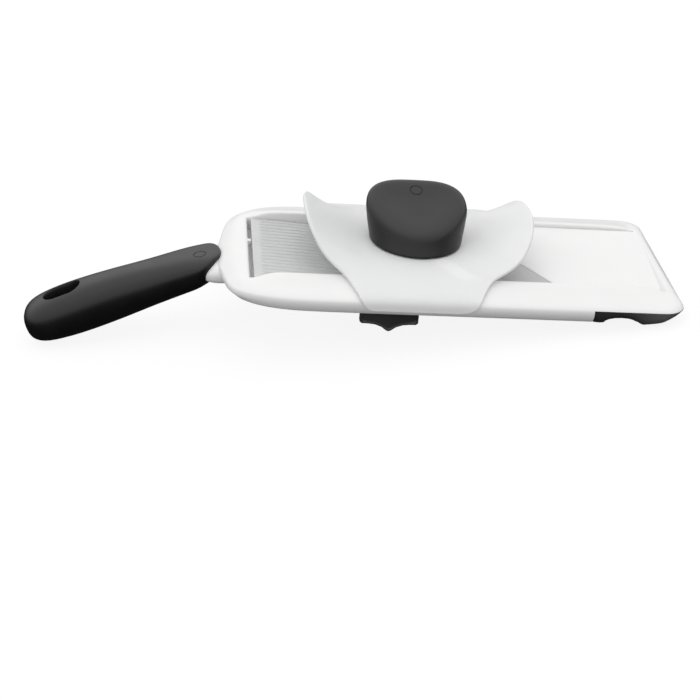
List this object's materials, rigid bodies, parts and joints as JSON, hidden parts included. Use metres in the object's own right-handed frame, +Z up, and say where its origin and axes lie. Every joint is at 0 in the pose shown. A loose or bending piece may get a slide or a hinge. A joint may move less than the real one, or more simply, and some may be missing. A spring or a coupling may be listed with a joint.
{
  "type": "mandoline slicer",
  "caption": "Hand-held mandoline slicer: railed body, slanted blade, tilting ribbed ramp set by a side slider, rubber handle and foot, and a sliding winged food holder.",
  "frame": {"origin": "middle of the bounding box, on the table that the slicer stands on", "axes": "+X towards the foot end, +Y across, away from the thickness tab, +Z up; the body slopes down towards +X by its standing angle"},
  "size_m": [0.3616, 0.1322, 0.0673],
  "materials": {
    "white_plastic": "satin white moulding",
    "black_rubber": "soft matt grip",
    "clear_plastic": "clear, ribbed",
    "frosted_plastic": "frosted translucent",
    "blade_steel": "satin ground"
  },
  "bodies": {
    "frame": {"body_frame": "white_plastic", "handle_grip": "black_rubber", "handle_screw": "blade_steel", "blade": "blade_steel", "blade_clamp": "white_plastic", "blade_screw_1": "blade_steel", "blade_screw_2": "blade_steel", "blade_screw_3": "blade_steel", "blade_screw_4": "blade_steel", "ramp_hinge_pin": "blade_steel", "detent_spring": "blade_steel", "detent_screw": "blade_steel", "end_foot": "black_rubber", "foot_screw_1": "blade_steel", "foot_screw_2": "blade_steel"},
    "ramp": {"ramp": "clear_plastic"},
    "slider": {"wedge_bar": "white_plastic", "thickness_tab": "black_rubber", "tab_screw": "blade_steel"},
    "holder": {"holder_shell": "frosted_plastic", "palm_knob": "black_rubber", "knob_core": "white_plastic", "prong_1": "blade_steel", "prong_2": "blade_steel", "prong_3": "blade_steel", "prong_4": "blade_steel", "prong_5": "blade_steel", "prong_6": "blade_steel", "prong_7": "blade_steel", "prong_8": "blade_steel", "holder_screw_1": "blade_steel", "holder_screw_2": "blade_steel"}
  },
  "joints": [
    {"name": "thickness_slide", "type": "slide", "parent": "frame", "child": "slider", "axis": [0.9888, 0, -0.1492], "range_m": [0, 0.027]},
    {"name": "ramp_tilt", "type": "hinge", "parent": "frame", "child": "ramp", "pos_m": [-0.04566, 0, 0.03925], "axis": [0, -1, 0], "range_deg": [0, 4.15]},
    {"name": "holder_slide", "type": "slide", "parent": "frame", "child": "holder", "axis": [0.9888, 0, -0.1492], "range_m": [-0.028, 0.085]}
  ],
  "couplings": [
    {"joint": "ramp_tilt", "follows": "thickness_slide", "rad_per_m": 2.6503}
  ]
}
